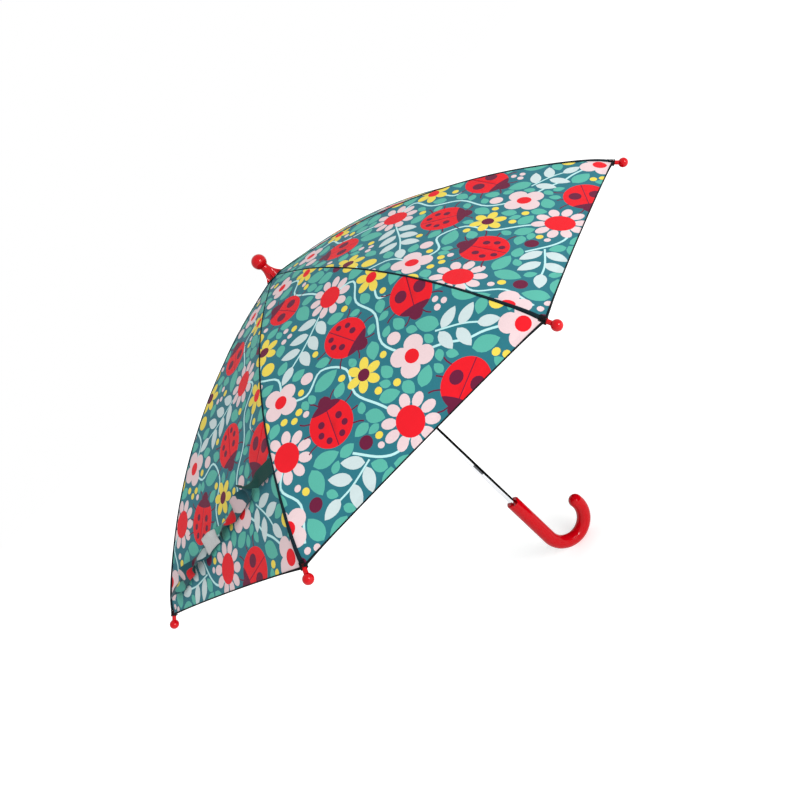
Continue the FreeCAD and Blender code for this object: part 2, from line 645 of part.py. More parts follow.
def make_handle():
    """A J handle: straight grip, round hook with a domed end, and a rounded, notched mouth."""
    body = new_body("handle")
    sketch = new_sketch(body, "XY_Plane", "dims.grip_bottom")
    disc(sketch, "0", "0", "dims.grip_radius")
    grip = pad(body, sketch, "dims.grip_top - dims.grip_bottom", both_ways=False)
    doc.recompute()
    top = value("dims.grip_top")
    edges = enumerate(grip.Shape.Edges, start=1)
    rim = [f"Edge{n}" for n, edge in edges if edge.CenterOfMass.z > top - OVER / 2]
    rounding = body.newObject("PartDesign::Fillet", "MouthRounding")
    rounding.Base = (grip, rim)
    rounding.setExpression("Radius", "dims.mouth_round")

    sketch = new_sketch(body, "XY_Plane", "dims.grip_bottom")
    disc(sketch, "0", "0", "dims.grip_radius")
    across = FreeCAD.Vector(value("dims.hook_radius"), 0, 0)
    along = FreeCAD.Vector(0, OVER, 0)
    axis = sketch.addGeometry(Part.LineSegment(across - along, across + along), True)
    sketch.addConstraint(Sketcher.Constraint("Vertical", axis))
    hold(sketch, "DistanceX", (-1, 1, axis, 1), "dims.hook_radius")
    hook = revolve(body, sketch, "Axis0", "dims.hook_sweep")
    hook.Reversed = False
    doc.recompute()
    if body.Shape.BoundBox.ZMin > value("dims.grip_bottom - dims.hook_radius"):
        hook.Reversed = True
    end = body.newObject("PartDesign::AdditiveSphere", "HookEnd")
    end.setExpression("Radius", "dims.grip_radius")
    end.setExpression("Placement.Base.x", "dims.hook_radius * (1 - cos(dims.hook_sweep))")
    end.setExpression("Placement.Base.z", "dims.grip_bottom - dims.hook_radius * sin(dims.hook_sweep)")

    sketch = new_sketch(body, "XY_Plane", "dims.grip_top")
    disc(sketch, "0", "0", "dims.shaft_radius + dims.socket_play")
    pocket(body, sketch, "dims.grip_top - dims.shaft_bottom", both_ways=False)
    sketch = new_sketch(body, "XZ_Plane")
    half = "dims.mouth_width / 2"
    box_outline(sketch, f"-{half}", half, "dims.grip_top - dims.mouth_depth", f"dims.grip_top + {OVER}")
    pocket(body, sketch, "4 * dims.grip_radius")
    place(body, "dims.hook_azimuth")


# ---------------------------------------------------------------- canopy


def canopy_layer(body, low, high, corners):
    """A layer that follows the canopy along a gore's middle, between two offsets from the rib
    centreline, trimmed to an outline seen from above."""
    centre_x = f"(dims.hinge_radius * cos({HALF_GORE}) - dims.gore_bend * sin(dims.gore_slope))"
    centre_z = "(dims.crown_height - dims.gore_bend * cos(dims.gore_slope))"
    start, end = "(dims.gore_slope - 1)", "dims.gore_end_slope"

    def spot(slope, offset):
        reach = f"(dims.gore_bend + {offset})"
        return f"{centre_x} + {reach} * sin({slope})", f"{centre_z} + {reach} * cos({slope})"

    sketch = new_sketch(body, "XZ_Plane")
    outline(
        sketch,
        [
            (*spot(start, low), (f"dims.gore_bend + {low}", -1)),
            spot(end, low),
            (*spot(end, high), (f"dims.gore_bend + {high}", 1)),
            spot(start, high),
        ],
    )
    pad(body, sketch, str(PAST))
    sketch = new_sketch(body, "XY_Plane")
    box_outline(sketch, f"-{PAST}", str(PAST), f"-{PAST}", str(PAST))
    outline(sketch, corners)
    pocket(body, sketch, str(4 * PAST))


def make_gore(index):
    """One gore of the canopy, sewn to its neighbours over the ribs."""
    body = new_body(f"canopy_gore_{index}")
    inner, outer = f"dims.canopy_hole * cos({HALF_GORE})", f"dims.hem_radius * cos({HALF_GORE})"
    gap = f"dims.gore_gap / cos({HALF_GORE})"
    narrow, wide = (f"({reach} * tan({HALF_GORE}) - {gap})" for reach in (inner, outer))
    corners = [
        (inner, f"-{narrow}"),
        (outer, f"-{wide}", ("dims.hem_bend", -1)),
        (outer, wide),
        (inner, narrow),
    ]
    low = "dims.gore_clearance"
    canopy_layer(body, low, "dims.gore_clearance + dims.fabric_thickness", corners)
    place(body, gore_azimuth(index))


def make_strap_layer(name, low, high, middle, length, width):
    """A band that lies along the tie strap's line: the strap itself, or a patch on it."""
    body = new_body(name)

    def corner(along, across):
        run, side = f"({middle} + {along} * {length} / 2)", f"({across} * {width} / 2)"
        x = f"dims.strap_middle - {run} * sin(dims.strap_angle) + {side} * cos(dims.strap_angle)"
        y = f"-dims.strap_shift + {run} * cos(dims.strap_angle) + {side} * sin(dims.strap_angle)"
        return x, y

    corners = [corner(-1, -1), corner(-1, 1), corner(1, 1), corner(1, -1)]
    fabric_top = "dims.gore_clearance + dims.fabric_thickness"
    canopy_layer(body, f"{fabric_top} + {low}", f"{fabric_top} + {high}", corners)
    place(body, gore_azimuth(STRAP_GORE))


def make_strap():
    """The tie strap, which lies loose over one gore, with its hook patch outside and loop patch inside."""
    top = "dims.strap_lift + dims.strap_thickness"
    make_strap_layer("tie_strap", "dims.strap_lift", top, "0", "dims.strap_length", "dims.strap_width")
    patch = "dims.patch_length", "dims.patch_width"
    hook_top = f"{top} + dims.patch_thickness"
    make_strap_layer("strap_hook_patch", top, hook_top, "-dims.hook_patch_place", *patch)
    loop_low = "dims.strap_lift - dims.patch_thickness"
    make_strap_layer("strap_loop_patch", loop_low, "dims.strap_lift", "-dims.loop_patch_place", *patch)


# ---------------------------------------------------------------- the umbrella

make_shaft()
make_handle()
make_crown()
make_runner()
make_wire("crown_wire", "dims.crown_height")
make_wire("runner_wire", RUNNER_OPEN)
make_pin("crown_pin", "dims.crown_pin_length", "dims.crown_pin_height")
make_pin("stop_pin", "dims.stop_pin_length", STOP_HEIGHT)
make_catch("top_catch", TOP_CATCH_PIVOT, upright=True)
make_catch("bottom_catch", LOW_CATCH_PIVOT, upright=False)
make_washer()
make_ferrule()
for number in range(1, RIBS + 1):
    make_rib(number)
    make_rib_tip(number)
    make_rivet(number)
    make_stretcher(number)
    make_gore(number)
make_strap()
doc.recompute()

for thing in doc.Objects:
    if any(word in thing.State for word in ("Invalid", "Error")):
        raise RuntimeError(f"{thing.Label} did not compute: {thing.State}")
for piece in parts:
    if piece.Shape.isNull() or not piece.Shape.isValid() or len(piece.Shape.Solids) != 1:
        raise RuntimeError(f"{piece.Label} is not one sound solid")

os.makedirs("parts", exist_ok=True)
for piece in parts:
    piece.Shape.exportStep(f"parts/{piece.Label}.step")
    print(f"{piece.Label:20s} {piece.Shape.Volume / 1000:9.3f} cm3")
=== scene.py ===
"""Children's umbrella: fabric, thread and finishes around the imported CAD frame.

Lengths are in millimetres while shapes are worked out, and are turned into metres when a mesh is made.
A gore is laid out flat first: u runs across it from its middle, v runs along it from the crown.
"""

import math
import random

import bpy
import numpy as np
from mathutils import Matrix, Vector
from mathutils.geometry import delaunay_2d_cdt
from mathutils.kdtree import KDTree


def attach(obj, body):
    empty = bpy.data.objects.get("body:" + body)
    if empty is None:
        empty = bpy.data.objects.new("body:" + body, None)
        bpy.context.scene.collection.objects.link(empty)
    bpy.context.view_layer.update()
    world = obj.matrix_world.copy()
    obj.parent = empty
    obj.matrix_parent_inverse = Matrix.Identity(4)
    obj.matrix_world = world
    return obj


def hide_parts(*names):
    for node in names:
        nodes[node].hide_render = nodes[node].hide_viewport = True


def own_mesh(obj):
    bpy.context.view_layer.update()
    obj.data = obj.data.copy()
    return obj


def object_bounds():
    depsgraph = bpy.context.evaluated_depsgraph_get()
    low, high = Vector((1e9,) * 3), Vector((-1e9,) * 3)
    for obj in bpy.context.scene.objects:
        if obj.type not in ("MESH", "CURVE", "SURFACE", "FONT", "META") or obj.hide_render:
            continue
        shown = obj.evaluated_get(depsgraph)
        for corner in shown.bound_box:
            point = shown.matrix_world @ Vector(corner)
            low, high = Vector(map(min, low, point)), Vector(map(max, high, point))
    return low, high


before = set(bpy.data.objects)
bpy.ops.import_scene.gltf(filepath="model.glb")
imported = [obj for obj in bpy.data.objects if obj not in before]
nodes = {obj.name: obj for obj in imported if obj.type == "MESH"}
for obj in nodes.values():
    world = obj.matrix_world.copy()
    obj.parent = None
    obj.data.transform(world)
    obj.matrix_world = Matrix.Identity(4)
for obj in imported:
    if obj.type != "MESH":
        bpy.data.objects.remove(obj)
cad_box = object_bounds()
scene = bpy.context.scene

MM = 0.001
RIBS = 8
STEP = math.tau / RIBS
HALF = STEP / 2

# The canopy's surface, as in the CAD model
GORE_BEND = 558
GORE_SLOPE = math.radians(7.6)
HINGE_RADIUS, CROWN_HEIGHT = 8, 442
CENTRE_D = HINGE_RADIUS * math.cos(HALF) - GORE_BEND * math.sin(GORE_SLOPE)
CENTRE_Z = CROWN_HEIGHT - GORE_BEND * math.cos(GORE_SLOPE)
FABRIC_TOP = 3.1
FABRIC_THICKNESS = 0.4
HOLE_RADIUS = 5
HEM_RADIUS, HEM_BEND = 355, 6000
OUTER_BEND = GORE_BEND + FABRIC_TOP
SEAM_GAP = 0.12

# ------------------------------------------------------------------ camera and studio

# Here lengths are in metres and angles in degrees
CAMERA_PLACE = (0.0418, -0.8601, 0.4728)
CAMERA_AZIMUTH, CAMERA_ELEVATION, CAMERA_ROLL = 3.045, 15.434, -46.615
CAMERA_LENS, CAMERA_SENSOR = 32.66, 36
FLOOR_DROP = 0.0004
FLOOR_SIZE = 60
FLOOR_COLOUR, FLOOR_GLOW = (0.9, 0.9, 0.9, 1), 0.35
KEY_PLACE, KEY_AIM, KEY_SIZE, KEY_POWER = (1.2, -2.2, 0.7), (0, 0, 0.25), 1.1, 54
FLAG_AZIMUTH, FLAG_DISTANCE, FLAG_WIDTH = 4, 0.125, 0.62
FLAG_LOW, FLAG_HIGH = -0.068, 0.26


def make_camera():
    """The camera, from its place, its two turns and its roll."""
    azimuth, elevation, roll = (
        math.radians(x) for x in (CAMERA_AZIMUTH, CAMERA_ELEVATION, CAMERA_ROLL)
    )
    back = Vector((
        math.sin(azimuth) * math.cos(elevation),
        -math.cos(azimuth) * math.cos(elevation),
        math.sin(elevation),
    ))
    level = Vector((math.cos(azimuth), math.sin(azimuth), 0))
    upright = back.cross(level)
    right = level * math.cos(roll) + upright * math.sin(roll)
    up = upright * math.cos(roll) - level * math.sin(roll)
    data = bpy.data.cameras.new("camera")
    data.lens, data.sensor_width = CAMERA_LENS, CAMERA_SENSOR
    data.clip_start, data.clip_end = 0.01, 200
    camera = bpy.data.objects.new("camera", data)
    camera.matrix_world = Matrix((
        (right.x, up.x, back.x, CAMERA_PLACE[0]),
        (right.y, up.y, back.y, CAMERA_PLACE[1]),
        (right.z, up.z, back.z, CAMERA_PLACE[2]),
        (0, 0, 0, 1),
    ))
    scene.collection.objects.link(camera)
    scene.camera = camera


def make_key_light():
    """One round softbox at the front right."""
    data = bpy.data.lights.new("key", "AREA")
    data.shape, data.size, data.energy = "DISK", KEY_SIZE, KEY_POWER
    light = bpy.data.objects.new("key", data)
    light.location = KEY_PLACE
    light.rotation_mode = "QUATERNION"
    light.rotation_quaternion = (Vector(KEY_AIM) - Vector(KEY_PLACE)).to_track_quat("-Z", "Y")
    light.visible_camera = False
    scene.collection.objects.link(light)


def make_studio():
    """White surroundings with a softbox, a floor and a card."""
    scene.view_settings.view_transform = "Standard"
    scene.view_settings.look = "None"
    world = bpy.data.worlds.new("studio")
    world.use_nodes = True
    background = world.node_tree.nodes["Background"]
    background.inputs["Color"].default_value = (1, 1, 1, 1)
    background.inputs["Strength"].default_value = 1.0
    scene.world = world
    make_key_light()
    make_floor()
    make_flag()


def make_floor():
    """A pale floor just under the umbrella's lowest point, a little bright in itself, as on a lit table."""
    half = FLOOR_SIZE / 2
    low = cad_box[0].z - FLOOR_DROP
    mesh = bpy.data.meshes.new("floor")
    mesh.from_pydata(
        [(-half, -half, low), (half, -half, low), (half, half, low), (-half, half, low)], [], [(0, 1, 2, 3)]
    )
    floor = bpy.data.objects.new("floor", mesh)
    material = bpy.data.materials.new("floor_paper")
    material.use_nodes = True
    shader = material.node_tree.nodes["Principled BSDF"]
    shader.inputs["Base Color"].default_value = FLOOR_COLOUR
    shader.inputs["Roughness"].default_value = 1
    shader.inputs["Specular IOR Level"].default_value = 0
    shader.inputs["Emission Color"].default_value = (1, 1, 1, 1)
    shader.inputs["Emission Strength"].default_value = FLOOR_GLOW
    mesh.materials.append(material)
    scene.collection.objects.link(floor)


def make_flag():
    """A black card beside the shaft, as photographers use it: only its reflection shows."""
    side = Matrix.Rotation(math.radians(FLAG_AZIMUTH), 3, "Z")
    half = FLAG_WIDTH / 2
    edges = ((-half, FLAG_LOW), (half, FLAG_LOW), (half, FLAG_HIGH), (-half, FLAG_HIGH))
    corners = [(FLAG_DISTANCE, y, z) for y, z in edges]
    mesh = bpy.data.meshes.new("flag")
    mesh.from_pydata([side @ Vector(c) for c in corners], [], [(0, 1, 2, 3)])
    flag = bpy.data.objects.new("flag", mesh)
    material = bpy.data.materials.new("flag_card")
    material.use_nodes = True
    shader = material.node_tree.nodes["Principled BSDF"]
    shader.inputs["Base Color"].default_value = (0.004, 0.004, 0.004, 1)
    shader.inputs["Roughness"].default_value = 1
    shader.inputs["Specular IOR Level"].default_value = 0
    mesh.materials.append(material)
    flag.visible_camera = flag.visible_diffuse = flag.visible_shadow = False
    scene.collection.objects.link(flag)


make_camera()
make_studio()

# ------------------------------------------------------------------ materials


class Shader:
    """A node material that is built up step by step around its Principled shader."""

    def __init__(self, name, **sockets):
        self.material = bpy.data.materials.new(name)
        self.material.use_nodes = True
        self.tree = self.material.node_tree
        self.out = self.tree.nodes["Principled BSDF"]
        for key, number in sockets.items():
            self.out.inputs[key.replace("_", " ")].default_value = number

    def node(self, kind, links=None, **settings):
        made = self.tree.nodes.new(kind)
        for key, setting in settings.items():
            setattr(made, key, setting)
        for key, source in (links or {}).items():
            socket = made.inputs[key]
            if isinstance(source, bpy.types.NodeSocket):
                self.tree.links.new(source, socket)
            else:
                socket.default_value = source
        return made

    def link(self, source, key):
        self.tree.links.new(source, self.out.inputs[key])

    def noise(self, where, scale, detail=3, roughness=0.5):
        made = self.node("ShaderNodeTexNoise", {"Vector": where, "Scale": scale, "Detail": detail,
                                                "Roughness": roughness})
        return made.outputs["Fac"]

    def ramp(self, source, low, high, out_low, out_high):
        made = self.node("ShaderNodeMapRange", {"Value": source, "From Min": low, "From Max": high,
                                                "To Min": out_low, "To Max": out_high})
        return made.outputs["Result"]

    def math(self, operation, a, b=0.0):
        made = self.node("ShaderNodeMath", operation=operation)
        for socket, source in zip(made.inputs, (a, b)):
            if isinstance(source, bpy.types.NodeSocket):
                self.tree.links.new(source, socket)
            else:
                socket.default_value = source
        return made.outputs[0]

    def mix(self, share, a, b):
        made = self.node("ShaderNodeMix", data_type="RGBA")
        for key, source in (("Factor", share), ("A", a), ("B", b)):
            socket = next(s for s in made.inputs if s.name == key and s.enabled)
            if isinstance(source, bpy.types.NodeSocket):
                self.tree.links.new(source, socket)
            else:
                socket.default_value = source
        return next(s for s in made.outputs if s.enabled)

    def bump(self, height, strength, distance):
        made = self.node("ShaderNodeBump", {"Height": height, "Strength": strength, "Distance": distance})
        self.link(made.outputs["Normal"], "Normal")

    def object_place(self):
        return self.node("ShaderNodeTexCoord").outputs["Object"]


def linear(red, green, blue):
    """An sRGB colour, each part from 0 to 255, as linear light."""
    parts = [x / 255 for x in (red, green, blue)]
    return tuple(x / 12.92 if x <= 0.04045 else ((x + 0.055) / 1.055) ** 2.4 for x in parts)


def shade(colour, factor):
    """A colour made darker or lighter, with the alpha that a colour socket takes."""
    return tuple(min(1, c * factor) for c in colour) + (1,)


def between(a, b, share):
    """A colour that is the given share of the way from a to b."""
    return tuple(x + (y - x) * share for x, y in zip(a, b))


EXPOSURE = 0.64  # an ink's albedo for the tone it shows under the studio light


def ink(red, green, blue):
    """The colour to give a surface so that it shows this sRGB tone."""
    return tuple(c * EXPOSURE for c in linear(red, green, blue))


INKS = {
    "ground": ink(39, 116, 130),
    "red": ink(234, 17, 34),
    "maroon": ink(106, 19, 57),
    "yellow": ink(240, 217, 84),
    "pink": ink(234, 208, 211),
    "pale": ink(204, 221, 222),
    "stem": ink(190, 236, 236),
    "leaf": ink(88, 181, 164),
}
REVERSE_BASE = ink(20, 76, 70)
REVERSE_ROUGHNESS = 0.7
SHOWS_THROUGH = 0.3  # how much of an ink shows on the fabric's inner side
BLACK = (0, 0, 0)
STRAP_GROUND_SHADE, STRAP_INK_SHADE, STRAP_REVERSE_SHADE = 0.4, 0.66, 0.7  # painted shade: what is left of each colour on the strap, darkened for the shade it lies in
THREADS = 2400  # weave threads in a metre


def fabric(name, colour, roughness=0.62):
    """Printed woven polyester: a fine plain weave, a slightly uneven print and a soft sheen."""
    made = Shader(name, Roughness=roughness, Sheen_Weight=0.02, Sheen_Roughness=0.4, Specular_IOR_Level=0.14)
    cut = made.node("ShaderNodeUVMap", uv_map="cut").outputs["UV"]
    apart = made.node("ShaderNodeSeparateXYZ", {"Vector": cut})
    warp = made.math("SINE", made.math("MULTIPLY", apart.outputs["X"], THREADS * math.tau / 2))
    weft = made.math("SINE", made.math("MULTIPLY", apart.outputs["Y"], THREADS * math.tau / 2))
    weave = made.math("MULTIPLY", warp, weft)
    cloud = made.noise(cut, 26, 4, 0.6)
    grain = made.noise(cut, 900, 2)
    tone = made.math("ADD", made.ramp(cloud, 0.3, 0.7, -0.05, 0.05), made.ramp(grain, 0.3, 0.7, -0.05, 0.05))
    tone = made.math("ADD", tone, made.math("MULTIPLY", weave, 0.03))
    share = made.math("ADD", tone, 0.5)
    made.link(made.mix(share, shade(colour, 0.72), shade(colour, 1.28)), "Base Color")
    made.link(made.ramp(grain, 0.3, 0.7, roughness - 0.06, roughness + 0.08), "Roughness")
    height = made.math("ADD", made.math("MULTIPLY", weave, 0.35), made.math("MULTIPLY", grain, 0.9))
    made.bump(height, 0.25, 0.0002)
    return made.material


def thread(name, colour):
    """Twisted sewing thread, closely overlocked."""
    made = Shader(name, Roughness=0.8, Specular_IOR_Level=0.1)
    place = made.object_place()
    twist = made.noise(place, 1500, 2, 0.5)
    made.link(made.mix(twist, shade(colour, 0.5), shade(colour, 1.7)), "Base Color")
    made.bump(twist, 0.5, 0.0004)
    return made.material


def glossy_plastic(name, colour, roughness):
    """Injection-moulded gloss plastic with faint waviness and fine scuffs."""
    made = Shader(name, Specular_IOR_Level=0.22)
    place = made.object_place()
    wave = made.noise(place, 45, 2)
    scuff = made.noise(place, 700, 5, 0.7)
    marks = made.ramp(scuff, 0.62, 0.8, 0, 1)
    share = made.ramp(wave, 0.3, 0.7, 0.35, 0.65)
    made.link(made.mix(share, shade(colour, 0.94), shade(colour, 1.06)), "Base Color")
    made.link(made.math("ADD", made.ramp(wave, 0.3, 0.7, roughness - 0.03, roughness + 0.05),
                        made.math("MULTIPLY", marks, 0.08)), "Roughness")
    height = made.math("ADD", made.math("MULTIPLY", wave, 2), made.math("MULTIPLY", scuff, 0.06))
    made.bump(height, 0.08, 0.0004)
    return made.material


def metal(name, colour, roughness, coated=0.0, metallic=1.0):
    """Drawn or plated metal, with faint streaks along Z and small specks."""
    made = Shader(name, Metallic=metallic, Coat_Weight=coated, Coat_Roughness=0.1)
    place = made.object_place()
    long_way = made.node("ShaderNodeMapping", {"Vector": place, "Scale": (1, 1, 0.02)})
    lines = made.noise(long_way.outputs["Vector"], 1800, 3, 0.6)
    specks = made.noise(place, 420, 4, 0.65)
    share = made.ramp(specks, 0.35, 0.7, 0.3, 0.7)
    made.link(made.mix(share, shade(colour, 0.88), shade(colour, 1.1)), "Base Color")
    made.link(made.math("ADD", made.ramp(specks, 0.5, 0.75, roughness, roughness + 0.1),
                        made.math("MULTIPLY", lines, 0.04)), "Roughness")
    made.bump(lines, 0.03, 0.0001)
    return made.material


def nap(name, colour, grain_scale):
    """Hook-and-loop tape: a dense, matt pile of tiny loops or hooks."""
    made = Shader(name, Roughness=0.85, Sheen_Weight=0.3, Specular_IOR_Level=0.2)
    place = made.object_place()
    cells = made.node("ShaderNodeTexVoronoi", {"Vector": place, "Scale": grain_scale}).outputs["Distance"]
    share = made.ramp(cells, 0.0, 0.6, 0.8, 0.2)
    made.link(made.mix(share, shade(colour, 0.7), shade(colour, 1.15)), "Base Color")
    made.bump(made.math("SUBTRACT", 1.0, cells), 0.6, 0.0004)
    return made.material


FACE = {name: fabric(f"print_{name}", colour) for name, colour in INKS.items()}
REVERSE = {
    name: fabric(f"reverse_{name}", between(REVERSE_BASE, colour, SHOWS_THROUGH), REVERSE_ROUGHNESS)
    for name, colour in INKS.items()
}
INK_ORDER = list(INKS)
# Painted shade: the strap's inks are the canopy's made darker, its ground most of all, for the shade the
# strap lies in
STRAP_SHADED_FACE = {
    name: fabric(f"strap_{name}", between(BLACK, colour, STRAP_GROUND_SHADE if name == "ground" else STRAP_INK_SHADE))
    for name, colour in INKS.items()
}
# Painted shade on the strap's reverse too: its base colour is darkened
STRAP_SHADED_BACK = {
    name: fabric(f"strap_reverse_painted_shade_{name}", between(BLACK, REVERSE_BASE, STRAP_REVERSE_SHADE), REVERSE_ROUGHNESS)
    for name in INKS
}
FABRICS = [FACE[name] for name in INK_ORDER] + [REVERSE[name] for name in INK_ORDER]
STRAP_SHADED_FABRICS = [STRAP_SHADED_FACE[name] for name in INK_ORDER] + [STRAP_SHADED_BACK[name] for name in INK_ORDER]
BLACK_THREAD = thread("black_thread", linear(9, 12, 15))
# The seam's dark thread: a real seam line, and painted shade where it widens near the tips
SEAM_THREAD_AND_SHADE = thread("seam_thread_and_shade", linear(8, 24, 30))
RED_PLASTIC = glossy_plastic("red_plastic", ink(204, 0, 16), 0.09)
BLACK_PLASTIC = glossy_plastic("black_plastic", linear(22, 22, 24), 0.3)
CHROME = metal("chrome", (0.74, 0.75, 0.77), 0.06)
BLACK_STEEL = metal("black_steel", linear(30, 31, 34), 0.3, coated=0.4, metallic=0.6)
WIRE = metal("wire_steel", (0.62, 0.62, 0.64), 0.25)
CATCH_STEEL = metal("catch_steel", linear(92, 94, 98), 0.3)
HOOK_TAPE = nap("hook_tape", ink(196, 198, 198), 1900)
LOOP_TAPE = nap("loop_tape", ink(150, 154, 156), 1400)

SLOT_MATERIALS = {
    "red_plastic": RED_PLASTIC,
    "black_plastic": BLACK_PLASTIC,
    "chrome_shaft": CHROME,
    "black_steel": BLACK_STEEL,
    "wire_steel": WIRE,
    "catch_steel": CATCH_STEEL,
}

# ------------------------------------------------------------------ mesh helpers


def new_piece(name, points, faces, materials, face_materials=None, flat_faces=(), cut=None):
    """A mesh object from points in millimetres."""
    mesh = bpy.data.meshes.new(name)
    mesh.from_pydata([tuple(c * MM for c in p) for p in points], [], faces)
    for material in materials:
        mesh.materials.append(material)
    mesh.polygons.foreach_set("use_smooth", [True] * len(faces))
    if face_materials is not None:
        mesh.polygons.foreach_set("material_index", face_materials)
    rim = set()
    for index in flat_faces:
        mesh.polygons[index].use_smooth = False
        rim.update(mesh.polygons[index].edge_keys)
    mesh.update()
    for edge in mesh.edges if rim else ():
        if edge.key in rim:
            edge.use_edge_sharp = True
    if cut is not None:
        layer = mesh.uv_layers.new(name="cut")
        spots = np.array(cut, float)[[c for face in faces for c in face]] * MM
        layer.data.foreach_set("uv", spots.ravel())
    mesh.validate()
    mesh.update()
    made = bpy.data.objects.new(name, mesh)
    scene.collection.objects.link(made)
    return made


def tube(path, radius, sides=8):
    """Points and faces of a round tube along a path, with flat ends. The radius may change along it."""
    path = np.array(path, float)
    radius = np.broadcast_to(radius, len(path))
    along = np.gradient(path, axis=0)
    along /= np.linalg.norm(along, axis=1)[:, None]
    side = np.cross(along, (0, 0, 1))
    side /= np.linalg.norm(side, axis=1)[:, None]
    other = np.cross(side, along)
    angles = np.arange(sides) * math.tau / sides
    rings = [
        path[i] + radius[i] * (math.cos(a) * side[i] + math.sin(a) * other[i])
        for i in range(len(path)) for a in angles
    ]
    faces = [
        (i * sides + j, i * sides + (j + 1) % sides, (i + 1) * sides + (j + 1) % sides, (i + 1) * sides + j)
        for i in range(len(path) - 1) for j in range(sides)
    ]
    last = (len(path) - 1) * sides
    faces += [tuple(range(sides - 1, -1, -1)), tuple(range(last, last + sides))]
    return rings, faces


# ------------------------------------------------------------------ the canopy's surface


def reach_at(v):
    """Distance from the shaft's axis, along the middle of a gore, of the point v along it."""
    return CENTRE_D + OUTER_BEND * np.sin(GORE_SLOPE + np.asarray(v) / OUTER_BEND)


def v_at(reach):
    """The point along a gore's middle at a distance from the shaft's axis."""
    return OUTER_BEND * (np.arcsin((np.asarray(reach) - CENTRE_D) / OUTER_BEND) - GORE_SLOPE)


def half_width(v):
    """Half the gore's width at v, less the gap at its seam."""
    return reach_at(v) * math.tan(HALF) - SEAM_GAP


HEM_REACH = HEM_RADIUS * math.cos(HALF)
HEM_V = float(v_at(HEM_REACH))
HOLE_V = float(v_at(HOLE_RADIUS * math.cos(HALF)))
HEM_HALF = float(half_width(HEM_V))


def hem_v(u):
    """The hem's hollow curve."""
    hollow = math.sqrt(HEM_BEND**2 - u**2) - math.sqrt(HEM_BEND**2 - HEM_HALF**2)
    return float(v_at(HEM_REACH - hollow))


SAG = 3.2  # how far the taut fabric dips between two ribs
PUCKER, PUCKER_REACH = 0.32, 9
SEAM_GROOVE, GROOVE_REACH = 0.75, 1.6
CORNER_PULL, CORNER_REACH = 1.5, 14  # how far a rib tip pulls its corner down, and how wide
HEM_FOLD, HEM_STITCH, STITCH_REACH = 0.25, 5.5, 0.9  # the dip of the hem's stitching, its place and reach
GATHER_V = float(v_at(13))  # how far out the ferrule's washer holds the fabric flat
GATHER_REACH = 30
GATHER_RISE = 0.25


def lift(u, v):
    """Height of the fabric over the plain curved gore: it dips between the ribs and puckers at the seams."""
    width = max(float(half_width(v)), 1)
    across = min(1, abs(u) / width)
    run = min(1, max(0, v / HEM_V))
    sag = SAG * (1 - across**2) * math.sin(math.pi * min(1, 0.12 + 0.72 * run)) * run**0.6
    from_seam = width - abs(u)
    free = min(1, max(0, (v - GATHER_V) / GATHER_REACH))
    groove = SEAM_GROOVE * math.exp(-((from_seam / GROOVE_REACH) ** 2)) * free - GATHER_RISE * (1 - free)
    side = 0.6 if u > 0 else 0
    ripple = math.sin(v * 0.47 + side) * 0.6 + math.sin(v * 0.293 + 2 * side + 1.3) * 0.4
    pucker = PUCKER * ripple * math.exp(-from_seam / PUCKER_REACH) * min(1, from_seam / 2) * min(1, v / 60)
    from_hem = max(0, hem_v(max(-HEM_HALF, min(HEM_HALF, u))) - v)
    stitched = HEM_FOLD * math.exp(-((from_hem - HEM_STITCH) / STITCH_REACH) ** 2)
    from_corner = math.hypot(HEM_HALF - abs(u), HEM_V - v)
    pull = CORNER_PULL * math.exp(-((from_corner / CORNER_REACH) ** 2))
    return -sag - groove + pucker - stitched - pull


def gore_frame(azimuth):
    """The directions out from the shaft and across, at an azimuth."""
    return (
        np.array((math.cos(azimuth), math.sin(azimuth), 0)),
        np.array((-math.sin(azimuth), math.cos(azimuth), 0)),
    )


def on_gore(azimuth, u, v, height):
    """The point over a gore's flat place (u, v), at a height over the fabric's plain outer surface."""
    out, across = gore_frame(azimuth)
    slope = GORE_SLOPE + v / OUTER_BEND
    bend = OUTER_BEND + height
    up = np.array((0, 0, CENTRE_Z + bend * math.cos(slope)))
    return out * (CENTRE_D + bend * math.sin(slope)) + across * u + up


# ------------------------------------------------------------------ the print, laid out flat


def oval(x, y, wide, tall, steps=20, turn=0.0):
    """An oval with the given half sizes."""
    spots = [(wide * math.cos(a), tall * math.sin(a)) for a in np.arange(steps) * math.tau / steps]
    return moved(spots, x, y, turn)


def moved(spots, x, y, turn=0.0, size=1.0):
    """An outline scaled, turned by degrees and set down at (x, y)."""
    c, s = math.cos(math.radians(turn)) * size, math.sin(math.radians(turn)) * size
    return [(x + c * px - s * py, y + s * px + c * py) for px, py in spots]


def around(count, radius, first):
    """Places and turns of petals in a ring."""
    for k in range(count):
        turn = first + k * 360 / count
        yield -radius * math.sin(math.radians(turn)), radius * math.cos(math.radians(turn)), turn


def leaf_shape(length, width, steps=7):
    """A pointed leaf from the origin along +y, fuller near its stalk."""
    side = [
        (width / 2 * math.sin(math.pi * t**0.85) ** 0.75, length * t) for t in np.linspace(0, 1, steps + 1)
    ]
    return side + [(-x, y) for x, y in side[-2:0:-1]]


def smooth_path(knots, steps):
    """Points on a smooth curve through the knots."""
    knots = np.array(knots, float)
    padded = np.vstack([2 * knots[0] - knots[1], knots, 2 * knots[-1] - knots[-2]])
    found = []
    for a, b, c, d in zip(padded, padded[1:], padded[2:], padded[3:]):
        for t in np.arange(steps) / steps:
            square = (2 * a - 5 * b + 4 * c - d) * t**2
            cube = (3 * b - a - 3 * c + d) * t**3
            found.append(0.5 * (2 * b + (c - a) * t + square + cube))
    return np.array(found + [knots[-1]])


